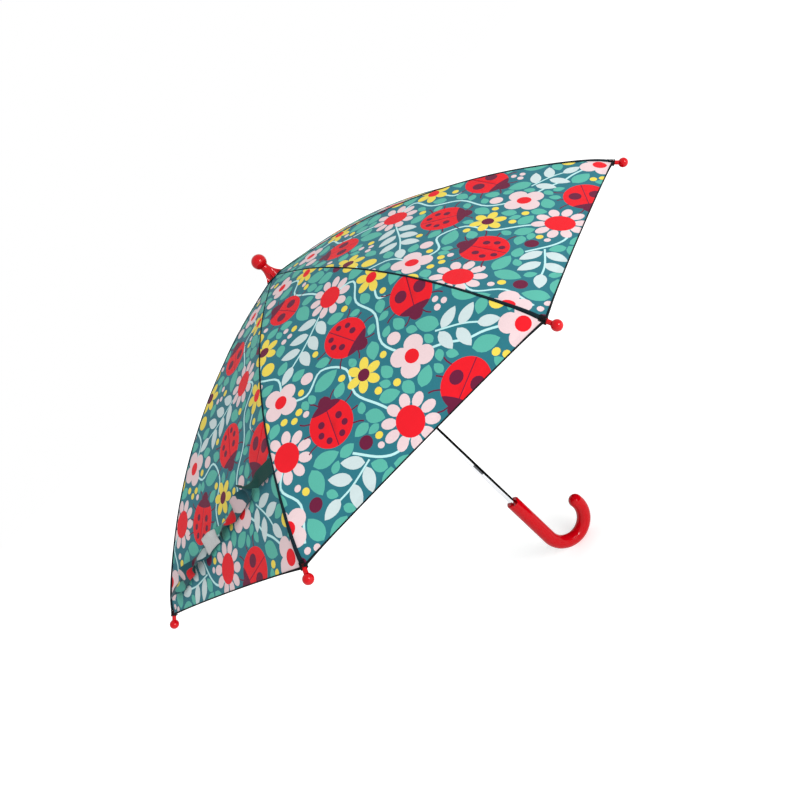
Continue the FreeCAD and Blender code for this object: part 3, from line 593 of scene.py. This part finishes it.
def band(knots, width, steps=5):
    """A thin band along a smooth curve."""
    path = smooth_path(knots, steps)
    along = np.gradient(path, axis=0)
    side = np.stack([-along[:, 1], along[:, 0]], axis=1)
    side *= width / 2 / np.linalg.norm(side, axis=1)[:, None]
    return [tuple(p) for p in path + side] + [tuple(p) for p in (path - side)[::-1]]


def ladybird(spots):
    """A beetle from above, with two large spots or six small ones."""
    shapes = []
    for side in (-1, 1):
        for low, high in ((10, 17), (0, 1), (-11, -16)):
            knots = [(side * 15, low), (side * 24, (low + high) / 2), (side * 28, high)]
            shapes.append(("maroon", band(knots, 1.4, 2)))
        shapes.append(("maroon", band([(side * 5, 21), (side * 9, 27), (side * 13, 30)], 1.3, 3)))
    shapes.append(("red", oval(0, 0, 21.5, 23.5, 32)))
    cap = [(21.5 * math.cos(a), 23.5 * math.sin(a)) for a in np.radians(np.linspace(44, 136, 12))]
    brow = [(x, 15.6 - 2 * math.cos(x / 15 * math.pi / 2)) for x in np.linspace(-13, 13, 7)]
    shapes.append(("maroon", cap + brow))
    shapes.append(("maroon", [(-7, 22), (7, 22), (5.6, 26.4), (2.4, 29.4), (-2.4, 29.4), (-5.6, 26.4)]))
    shapes.append(("maroon", [(-0.4, 14), (-0.4, -23), (0.4, -23), (0.4, 14)]))
    if spots == 2:
        places = [(-9.8, -2.5, 6.2), (9.8, -2.5, 6.2)]
    else:
        places = [(-9, 3.5, 3.3), (9, 3.5, 3.3), (-12, -6, 3), (12, -6, 3), (-6.5, -14.5, 3), (6.5, -14.5, 3)]
    return shapes + [("maroon", oval(x, y, r, r * 1.08, 14)) for x, y, r in places]


def daisy():
    """Ten narrow petals round a large middle."""
    shapes = [("pink", oval(x, y, 4.9, 7, 14, turn)) for x, y, turn in around(10, 19, 9)]
    return shapes + [("red", oval(0, 0, 12.6, 14.4, 24))]


def blossom(centre):
    """Six yellow petals round a middle of the given ink."""
    shapes = [("yellow", oval(x, y, 4.9, 7.4, 14, turn)) for x, y, turn in around(6, 11.4, 12)]
    return shapes + [("yellow", oval(0, 0, 7, 7, 12)), (centre, oval(0, 0, 6.2, 6.6, 16))]


def four_petals():
    """Four round petals and a small middle."""
    shapes = [("pink", oval(x, y, 9.2, 8.9, 18, turn)) for x, y, turn in around(4, 11.6, 40)]
    return shapes + [("pink", oval(0, 0, 8, 8, 12)), ("red", oval(0, 0, 6.6, 7.2, 16))]


def sprig(pairs):
    """A stem with pale leaves in pairs and one at its end, from its middle."""
    pitch = 17
    low = -(pairs + 1) * pitch / 2
    shapes = [("stem", band([(0, low), (2, 0), (0, -low - 8)], 1.7, 5))]
    for k in range(pairs):
        y = low + 5 + k * pitch
        for side in (-1, 1):
            shapes.append(("pale", moved(leaf_shape(23, 11.5), side * 1.5, y + side, -side * 56)))
    return shapes + [("pale", moved(leaf_shape(21, 11), 0, -low - 12))]


def sprout(length):
    """Two leaves that part from one point."""
    return [("leaf", moved(leaf_shape(length, length * 0.56), side * 1.6, 0, -side * 42)) for side in (-1, 1)]


def leaf(length, width):
    """One leaf, about its middle."""
    return [("leaf", moved(leaf_shape(length, width), 0, -length / 2))]


def dot(ink, radius):
    """A nearly round dot."""
    return [(ink, oval(0, 0, radius, radius * 1.06, 16 if radius > 5 else 10))]


# The winding stems, as places across and along a gore
STEMS = [
    [(0, 60), (18, 80), (6, 100), (20, 130), (28, 158)],
    [(28, 158), (56, 172), (44, 198), (48, 230), (34, 262), (44, 296)],
    [(-52, 148), (-74, 172), (-58, 196), (-68, 224)],
    [(-68, 224), (-46, 240), (-22, 230), (-4, 252), (-12, 280), (-2, 310), (8, 346)],
    [(44, 296), (68, 310), (84, 324), (100, 332), (124, 350)],
    [(-92, 276), (-112, 296), (-106, 322), (-122, 350)],
    [(70, 194), (60, 216), (66, 224)],
    [(-46, 322), (-30, 344), (-14, 352), (8, 346)],
]
# Each large motif's place across and along a gore, its turn in degrees and its size
MOTIFS = [
    (sprig(3), -20, 186, 62, 1),
    (sprig(2), -64, 342, 80, 1),
    (sprig(2), 90, 312, -48, 0.95),
    (four_petals(), 0, 58, 10, 0.78),
    (ladybird(2), -12, 110, 158, 0.9),
    (blossom("red"), 30, 84, 0, 0.85),
    (blossom("maroon"), -54, 144, 20, 0.95),
    (daisy(), 30, 160, 8, 0.95),
    (four_petals(), -68, 222, 30, 0.98),
    (blossom("red"), 70, 190, 10, 0.98),
    (ladybird(6), 14, 222, -18, 1),
    (daisy(), -92, 276, 20, 1),
    (four_petals(), 44, 296, 5, 1),
    (blossom("maroon"), 4, 272, 25, 0.95),
    (ladybird(6), -44, 284, 196, 1),
    (daisy(), 6, 340, 15, 1),
    (ladybird(2), 58, 352, 66, 0.98),
    (four_petals(), 122, 352, 15, 1),
    (ladybird(2), 82, 246, 24, 1),
    (four_petals(), -126, 330, 40, 0.95),
]
# What fills the ground between them, in this order: the motif, the gap it keeps and the most that are printed
FILLERS = [
    (dot("yellow", 7.6), 2.6, 5),
    (dot("maroon", 6.2), 2.4, 4),
    (dot("pink", 6.4), 2.4, 3),
    (dot("yellow", 3.6), 3, 12),
    (dot("pink", 3.2), 3, 10),
    (sprout(26), 1.6, 10),
    (leaf(28, 16), 1.6, 20),
    (leaf(24, 15), 1.5, 24),
    (leaf(20, 13), 1.5, 30),
    (leaf(16, 11), 1.4, 40),
    (dot("yellow", 3.4), 2.2, 8),
    (dot("pink", 3), 2.2, 8),
    (leaf(12, 8), 1.3, 40),
]
STEM_WIDTH = 2.2
PLOT_SIZE = (340, 440)
PLOT_CORNER = (-170, -20)
FILL_SEED = 11
FILL_FROM, FILL_HALF, FILL_OVER = 24, 140, 3  # where places start, their reach across, and past the seams
FILL_STEP = 4
FILL_TURNS = 12


def cells_in(outline):
    """The whole millimetres inside an outline."""
    outline = np.array(outline)
    low, high = np.floor(outline.min(axis=0)), np.ceil(outline.max(axis=0))
    x, y = np.meshgrid(np.arange(low[0], high[0] + 1), np.arange(low[1], high[1] + 1), indexing="ij")
    inside = np.zeros(x.shape, bool)
    for (xa, ya), (xb, yb) in zip(outline, np.roll(outline, -1, axis=0)):
        if ya != yb:
            crosses = ((ya > y) != (yb > y)) & (x < (xb - xa) * (y - ya) / (yb - ya) + xa)
            inside ^= crosses
    return np.stack([x[inside], y[inside]], axis=1).astype(int)


def cells_of(shapes):
    """The whole millimetres inside any of the shapes."""
    return np.unique(np.vstack([cells_in(outline) for _, outline in shapes]), axis=0)


def widened(cells, gap):
    """The cells and all others within the gap of them."""
    span = range(-math.ceil(gap), math.ceil(gap) + 1)
    disc = [(x, y) for x in span for y in span if math.hypot(x, y) <= gap]
    return np.unique((cells[:, None, :] + np.array(disc)[None]).reshape(-1, 2), axis=0)


def filled_ground(shapes):
    """Small motifs that find room between the large ones."""
    taken = np.zeros(PLOT_SIZE, bool)

    def mark(cells):
        spots = cells - PLOT_CORNER
        spots = spots[((spots >= 0) & (spots < PLOT_SIZE)).all(axis=1)]
        taken[spots[:, 0], spots[:, 1]] = True

    mark(cells_of(shapes))
    rng = random.Random(FILL_SEED)
    places = [
        (u, v) for v in range(FILL_FROM, int(HEM_V) + 2, FILL_STEP)
        for u in range(-FILL_HALF, FILL_HALF + 1, FILL_STEP) if abs(u) < half_width(v) + FILL_OVER
    ]
    found = []
    for motif, gap, most in FILLERS:
        turned = []
        for k in range(FILL_TURNS):
            turn = k * 360 / FILL_TURNS
            plain = cells_of([(ink, moved(outline, 0, 0, turn)) for ink, outline in motif])
            turned.append((turn, widened(plain, gap), plain))
        rng.shuffle(places)
        left = most
        for u, v in places:
            if taken[u - PLOT_CORNER[0], v - PLOT_CORNER[1]]:
                continue
            rng.shuffle(turned)
            for turn, wide, plain in turned:
                spots = wide + (u, v) - PLOT_CORNER
                if (spots < 0).any() or (spots >= PLOT_SIZE).any() or taken[spots[:, 0], spots[:, 1]].any():
                    continue
                mark(plain + (u, v))
                found += [(ink, moved(outline, u, v, turn)) for ink, outline in motif]
                left -= 1
                break
            if left == 0:
                break
    return found


def print_shapes():
    """Every coloured shape of the print, in printing order, as (ink, outline)."""
    found = [("stem", band(knots, STEM_WIDTH)) for knots in STEMS]
    for shapes, u, v, turn, size in MOTIFS:
        found += [(ink, moved(outline, u, v, turn, size)) for ink, outline in shapes]
    return found + filled_ground(found)


# ------------------------------------------------------------------ one gore, cut into triangles

MESH_STEP = 6.5
ROW_SHARE = 0.87  # the height of an equal-sided triangle
ROW_HALF = 200  # rows of points start this far from a gore's middle, and are cut at its seams
FINE_APART, PLAIN_APART, STRAP_APART = 1.3, 1.8, 1.5  # added points stay this far from the print's outlines
SEAM_OFFSETS = (1.3, 3.4)  # rows of points along a seam, by distance from it
HEM_OFFSETS = (1.2, 4.4, 5.5, 6.6)  # and along the hem
HEM_MESH_FROM = 8.5  # the plain grid of points ends this far from the hem
# A panel's bands: where one ends and the next starts, from the shaft, and the share of its width each keeps
RING_REACHES = (19, 33, 54, 84, 125, 180)
RING_KEEPS = (0.95, 0.74, 0.56, 0.44, 0.35, 0.275, 0.215)
RING_SLACK = 0.01  # a sliver this close to a cut goes to the bands on both sides of it


def anticlockwise(outline):
    """The outline in the order that delaunay_2d_cdt needs for its faces."""
    area = sum(a[0] * b[1] - a[1] * b[0] for a, b in zip(outline, outline[1:] + outline[:1]))
    return outline if area > 0 else outline[::-1]


def cut_cloth(outline, lines, shapes, extra_rows):
    """Flat cloth as triangles: its points, its triangles and each triangle's ink number."""
    points, edges, faces = [], [], []

    def add_line(line, closed=False):
        first, count = len(points), len(line)
        points.extend((float(x), float(y)) for x, y in line)
        edges.extend((first + i, first + i + 1) for i in range(count - 1))
        if closed:
            edges.append((first + count - 1, first))
        return list(range(first, first + count))

    faces.append(add_line(anticlockwise(outline), closed=True))
    for line in lines:
        add_line(line)
    for _, shape in shapes:
        faces.append(add_line(anticlockwise(shape), closed=True))
    tree = KDTree(len(points))
    for i, (x, y) in enumerate(points):
        tree.insert((x, y, 0), i)
    tree.balance()
    for row, apart in extra_rows:
        points.extend((float(x), float(y)) for x, y in row if tree.find((x, y, 0))[2] > apart)

    found = delaunay_2d_cdt([Vector(p) for p in points], edges, faces, 0, 1e-4)
    spots, triangles, origin = found[0], found[2], found[5]
    numbers = [0] + [INK_ORDER.index(name) for name, _ in shapes]
    kept = [(tuple(t), numbers[max(sources)]) for t, sources in zip(triangles, origin) if 0 in sources]
    return np.array([tuple(p) for p in spots]), [t for t, _ in kept], [number for _, number in kept]


def cut_gore():
    """One flat gore with its print, cut at its middle and between the bands, with points close together where
    the fabric puckers or is stitched."""
    rows = np.linspace(HOLE_V, HEM_V, round((HEM_V - HOLE_V) / MESH_STEP) + 1)
    right = [(float(half_width(v)), float(v)) for v in rows]
    hem = [(u, hem_v(u)) for u in np.linspace(HEM_HALF, -HEM_HALF, 2 * round(HEM_HALF / MESH_STEP) + 1)]
    left = [(-u, v) for u, v in right[::-1]]
    lines = [[(0, v) for v in [*rows[:-1], hem_v(0)]]]
    for reach in RING_REACHES:
        v = float(v_at(reach))
        wide = float(half_width(v))
        lines.append([(u, v) for u in np.linspace(-wide, wide, 2 * max(3, round(wide / MESH_STEP)) + 1)])
    extra = []
    for offset in SEAM_OFFSETS:
        for v in np.arange(HOLE_V + 4, HEM_V - 1.5, MESH_STEP / 2):
            u = float(half_width(v)) - offset
            if u > offset:
                extra.append(([(-u, v), (u, v)], FINE_APART))
    for i, v in enumerate(np.arange(HOLE_V + MESH_STEP, HEM_V, MESH_STEP * ROW_SHARE)):
        wide = float(half_width(v)) - SEAM_OFFSETS[-1] - 2
        row = np.arange(-ROW_HALF, ROW_HALF, MESH_STEP) + (i % 2) * MESH_STEP / 2
        extra.append(([(u, v) for u in row if abs(u) < wide and v < hem_v(u) - HEM_MESH_FROM], PLAIN_APART))
    for from_hem in HEM_OFFSETS:
        row = np.arange(-HEM_HALF + 5, HEM_HALF - 4.9, MESH_STEP / 1.5)
        extra.append(([(u, hem_v(u) - from_hem) for u in row], FINE_APART))
    return cut_cloth(right + hem[1:-1] + left, lines, print_shapes(), extra)


GORE_POINTS, GORE_TRIANGLES, GORE_INKS = cut_gore()
GORE_LIFT = np.array([lift(float(u), float(v)) for u, v in GORE_POINTS])


def shell(spots, triangles, numbers, placed):
    """Top and bottom layers and rims of flat cloth: points, faces, ink numbers, rim faces and flat places.
    placed(i, down) is where spot i goes, at a depth under the cloth's top."""
    used = sorted({i for t in triangles for i in t})
    place = {i: n for n, i in enumerate(used)}
    count = len(used)
    points = [placed(i, down) for down in (0, FABRIC_THICKNESS) for i in used]
    cut = [tuple(spots[i]) for i in used] * 2
    faces, seen = [], set()
    for triangle in triangles:
        a, b, c = (place[i] for i in triangle)
        (xa, ya), (xb, yb), (xc, yc) = (cut[i] for i in (a, b, c))
        if (xb - xa) * (yc - ya) - (yb - ya) * (xc - xa) > 0:
            b, c = c, b
        faces.append((a, b, c))
        seen.update(((a, b), (b, c), (c, a)))
    inks = list(numbers) + [number + len(INK_ORDER) for number in numbers]
    faces += [(a + count, c + count, b + count) for a, b, c in faces]
    rims = [(a, b) for a, b in sorted(seen) if (b, a) not in seen]
    first_rim = len(faces)
    faces += [(b, a, a + count, b + count) for a, b in rims]
    inks += [0] * len(rims)
    return points, faces, inks, list(range(first_rim, len(faces))), cut


def gore_shell(azimuth, chosen):
    """The chosen triangles of the flat gore, as a shell on the curved one."""
    def placed(i, down):
        u, v = (float(x) for x in GORE_POINTS[i])
        return on_gore(azimuth, u, v, GORE_LIFT[i] - down)

    return shell(GORE_POINTS, [GORE_TRIANGLES[t] for t in chosen], [GORE_INKS[t] for t in chosen], placed)


def join(parts):
    """Several (points, faces, inks, rims, cut) as one."""
    points, faces, inks, rims, cut = [], [], [], [], []
    for p, f, k, r, c in parts:
        shift, first = len(points), len(faces)
        points += list(p)
        faces += [tuple(i + shift for i in face) for face in f]
        inks += k
        rims += [i + first for i in r]
        cut += c
    return points, faces, inks, rims, cut


def make_canopy():
    """Eight panels, each half a gore either side of its rib, so that the sewn seam stays on the rib as it
    folds. Each panel is in bands."""
    rings = [HOLE_V, *(float(v_at(r)) for r in RING_REACHES), 2 * HEM_V]
    middles = GORE_POINTS[np.array(GORE_TRIANGLES)].mean(axis=1)
    for k in range(1, RIBS + 1):
        for ring, keep in enumerate(RING_KEEPS):
            chosen = (middles[:, 1] > rings[ring] - RING_SLACK) & (middles[:, 1] <= rings[ring + 1])
            before = np.flatnonzero(chosen & (middles[:, 0] > 0))
            after = np.flatnonzero(chosen & (middles[:, 0] < 0))
            halves = [gore_shell((k - 1) * STEP, before), gore_shell(k * STEP, after)]
            points, faces, inks, rims, cut = join(halves)
            piece = new_piece(f"canopy_panel_{k}_{ring + 1}", points, faces, FABRICS, inks, rims, cut)
            wide = 2 * float(half_width(min(rings[ring + 1], HEM_V)))
            narrow = 2 * float(half_width(rings[ring]))
            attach(piece, f"rib_{k}")
            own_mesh(piece)
            if ring == len(RING_KEEPS) - 1:
                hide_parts(f"canopy_gore_{k}")
        make_edges(k)


THREAD_RADIUS, CORNER_THREAD = 0.68, 0.5  # the hem's overlock, and how much thicker it is at a rib tip
CORNER_THREAD_REACH = 26
SEAM_AT = (0, 120, HEM_V - 70, HEM_V - 12, HEM_V)
SEAM_AND_SHADE_RADII = (0.5, 0.75, 1.1, 1.9, 2.1)  # the seam's roll, at those places along it, widening near the tip into a dark band of painted shade for the shaded fold beside the seam
BINDING_FROM, BINDING_TO = 348.5, 353.5  # the turns round a rib tip's neck, by distance from the shaft
BINDING_TURNS, BINDING_RADIUS, BINDING_THREAD = 5, 2.9, 0.55
RIB_BEND, RIB_SLOPE = 616, math.radians(6.5)


def on_rib(reach):
    """The rib's middle line at a distance from the shaft: its height and its slope."""
    slope = math.asin((reach - HINGE_RADIUS) / RIB_BEND + math.sin(RIB_SLOPE))
    return CROWN_HEIGHT + RIB_BEND * (math.cos(slope) - math.cos(RIB_SLOPE)), slope


def tip_binding(k):
    """The thread that sews a corner of the canopy to its rib tip."""
    out, across = gore_frame((k - 0.5) * STEP)
    up = np.array((0, 0, 1))
    path = []
    for t in np.linspace(0, 1, BINDING_TURNS * 12 + 1):
        reach = BINDING_FROM + (BINDING_TO - BINDING_FROM) * t
        height, slope = on_rib(reach)
        normal = out * math.sin(slope) + up * math.cos(slope)
        turn = BINDING_TURNS * math.tau * t
        radius = BINDING_RADIUS + 0.25 * math.sin(7 * turn + k)
        path.append(out * reach + up * height + radius * (math.cos(turn) * normal + math.sin(turn) * across))
    return tube(path, BINDING_THREAD, 6)


def make_edges(k):
    """The dark overlocked hem and the seam line of one panel, whose thread widens near the tip as painted
    shade.
    """
    path = []
    for azimuth, side in (((k - 1) * STEP, 1), (k * STEP, -1)):
        run = [
            on_gore(azimuth, side * u, hem_v(u) + 0.1, lift(side * u, hem_v(u)) - FABRIC_THICKNESS / 2)
            for u in np.linspace(0, HEM_HALF - 0.3, 24)
        ]
        path += run if side > 0 else run[::-1]
    from_tip = np.abs(np.linspace(-1, 1, len(path))) * HEM_HALF
    thick = THREAD_RADIUS + CORNER_THREAD * np.exp(-((from_tip / CORNER_THREAD_REACH) ** 2))
    hem = new_piece(f"hem_thread_{k}", *tube(path, thick), [BLACK_THREAD])
    path = []
    runs = np.arange(HOLE_V + 1, HEM_V - 2, 4)
    for v in runs:
        wide = float(half_width(v))
        height = lift(wide, float(v)) + 0.1
        a = on_gore((k - 1) * STEP, wide, float(v), height)
        b = on_gore(k * STEP, -wide, float(v), height)
        path.append((a + b) / 2)
    # Near the tip the seam thread thickens into painted shade of the fold beside it
    thick = np.interp(runs, SEAM_AT, SEAM_AND_SHADE_RADII)
    seam = new_piece(f"seam_thread_and_shade_{k}", *tube(path, thick, 8), [SEAM_THREAD_AND_SHADE])
    binding = new_piece(f"tip_binding_{k}", *tip_binding(k), [BLACK_THREAD])
    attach(binding, f"rib_{k}")
    for piece in (hem, seam):
        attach(piece, f"rib_{k}")
        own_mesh(piece)


make_canopy()

# ------------------------------------------------------------------ the tie strap

STRAP_GORE = 5
STRAP_WIDTH = 16
STRAP_FROM, STRAP_TO = (107, 257), (-112, 314)  # across the gore and out from the shaft, at its two ends
FLIP_FROM, FLIP_TO = 24, 46
STRAP_TILT, STRAP_WAVE, STRAP_CREASE = 0.55, 10.4, 1.6  # how the loose strap rolls from side to side
STRAP_GAP = 1.1  # from the canopy's outer surface to the strap, where it lies closest
STRAP_CURL = 0.012
STITCH_LINE, STITCH_DEPTH, STITCH_WIDTH = 6.2, 0.2, 0.6  # the strap's two lines of stitching, from its middle
STRAP_ROWS = (-6.6, -5.8, -3, 0, 3, 5.8, 6.6)  # rows of points along the strap, by distance from its middle
PATCH_AT, PATCH_SIZE = 128, (25, 15)  # each patch's middle along the strap, and its length and width
LOOP_AT, LOOP_SIZE = 205, (22, 11)
PATCH_THICKNESS = 1.1
STRAP_SHAPES = [
    ("pink", moved(leaf_shape(24, 13), 52, -6, -70)),
    ("pink", moved(leaf_shape(22, 12), 57, 6, -104)),
    ("red", oval(84, -1, 9, 7, 18, 20)),
    ("leaf", moved(leaf_shape(24, 12), 96, -8, -58)),
    ("leaf", moved(leaf_shape(24, 12), 103, 9, -112)),
    ("stem", band([(88, -3), (100, 2), (118, -1), (134, 4)], 1.6)),
    ("yellow", oval(121, 5, 3.4, 3.4, 10)),
    ("pale", moved(leaf_shape(22, 12), 142, -2, -76)),
    ("maroon", oval(172, 3, 6.5, 6, 14)),
    ("red", oval(182, -6, 9, 8, 16)),
    ("pink", oval(196, 4, 5, 7, 14, 20)),
    ("leaf", moved(leaf_shape(20, 11), 204, -5, -70)),
    ("yellow", oval(218, 4, 3, 3, 10)),
    ("pale", oval(20, 3, 4, 3, 10)),
]


def strap_line():
    """The strap's middle line over its gore, laid straight on the flat gore: start, direction and length."""
    start, end = (np.array((u, float(v_at(reach)))) for u, reach in (STRAP_FROM, STRAP_TO))
    length = float(np.linalg.norm(end - start))
    return start, (end - start) / length, length


def roll(s):
    """How far the loose strap is rolled over at s: from side to side, with creases where it turns back."""
    swing = math.asin(math.sin(max(0, s - FLIP_TO) / STRAP_WAVE)) * 2 / math.pi
    return STRAP_TILT * max(-1, min(1, STRAP_CREASE * swing))


def on_strap(s, q, height):
    """The point at s along the strap and q across it, at a height over its middle surface."""
    start, way, _ = strap_line()
    turn = math.pi * (1 - min(1, max(0, (s - FLIP_FROM) / (FLIP_TO - FLIP_FROM))))
    turn += roll(s)
    slack = 0.5 + 0.9 * math.sin(s / 17) ** 2 + 0.8 * math.sin(s / 41 + 1) ** 2  # two slow waves along it
    rise = STRAP_GAP + slack * min(1, s / 20) + STRAP_WIDTH / 2 * abs(math.sin(turn))
    u, v = start + way * s
    across = np.array((-way[1], way[0])) * q * math.cos(turn)
    curl = STRAP_CURL * q * q * math.sin(s / 23)
    u, v = u + across[0], v + across[1]
    above = lift(u, v) + rise + curl + q * math.sin(turn) + height * math.cos(turn)
    return on_gore(STRAP_GORE * STEP, u, v, above)


def make_strap():
    """The strap that ties the folded canopy: sewn in at the seam, turned over once, then laid on its gore."""
    length = strap_line()[2]
    half = STRAP_WIDTH / 2
    sides = np.linspace(0, length, 60)
    outline = [(s, -half) for s in sides] + [(length, 0)] + [(s, half) for s in sides[::-1]] + [(0, 0)]
    rows = [([(s, q) for s in sides[1:-1]], STRAP_APART) for q in STRAP_ROWS]
    spots, triangles, numbers = cut_cloth(outline, [], STRAP_SHAPES, rows)

    def placed(i, down):
        s, q = (float(x) for x in spots[i])
        stitched = STITCH_DEPTH * math.exp(-((abs(q) - STITCH_LINE) / STITCH_WIDTH) ** 2)
        return on_strap(s, q, -down - stitched)

    points, faces, inks, rims, cut = shell(spots, triangles, numbers, placed)
    # The strap's fabrics hold painted shade: inks darker than the canopy's
    strap_painted_shade = new_piece("tie_strap_cloth", points, faces, STRAP_SHADED_FABRICS, inks, rims, cut)
    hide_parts("tie_strap")
    hook = new_piece("strap_hook_tape", *patch(PATCH_AT, *PATCH_SIZE, 0.2), [HOOK_TAPE])
    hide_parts("strap_hook_patch")
    under = -FABRIC_THICKNESS - PATCH_THICKNESS
    loop = new_piece("strap_loop_tape", *patch(LOOP_AT, *LOOP_SIZE, under), [LOOP_TAPE])
    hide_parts("strap_loop_patch")
    for piece, slot in ((strap_painted_shade, "canopy_fabric"), (hook, "patch_tape"), (loop, "patch_tape")):
        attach(piece, f"gore_{STRAP_GORE}")
        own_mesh(piece)


def patch(at, long, wide, height):
    """A sewn patch of tape on the strap, from a height over it, softly domed, with rounded corners."""
    columns, rows = 12, 8
    points, faces = [], []
    for top in (1, 0):
        for i in range(columns + 1):
            for j in range(rows + 1):
                x, y = 2 * i / columns - 1, 2 * j / rows - 1
                corner = 1 - 0.035 * (x * x * y * y) ** 3
                edge = max(abs(x), abs(y)) ** 10
                rise = PATCH_THICKNESS * (1 - 0.45 * edge) if top else 0
                points.append(on_strap(at + x * corner * long / 2, y * corner * wide / 2, height + rise))
    count = (columns + 1) * (rows + 1)
    for i in range(columns):
        for j in range(rows):
            a = i * (rows + 1) + j
            quad = (a, a + rows + 1, a + rows + 2, a + 1)
            faces.append(quad)
            faces.append(tuple(n + count for n in quad[::-1]))
    rim = [i * (rows + 1) for i in range(columns + 1)]
    rim += [columns * (rows + 1) + j for j in range(1, rows + 1)]
    rim += [i * (rows + 1) + rows for i in range(columns - 1, -1, -1)]
    rim += [j for j in range(rows - 1, 0, -1)]
    faces += [(a, a + count, b + count, b) for a, b in zip(rim, rim[1:] + rim[:1])]
    return points, faces


make_strap()

# ------------------------------------------------------------------ carried-over CAD nodes

# A slot that isn't listed is that of a soft CAD solid, which fabric or tape stands for
for node in nodes.values():
    finish = SLOT_MATERIALS.get(node.data.materials[0].name)
    if finish:
        node.data.materials[0] = finish
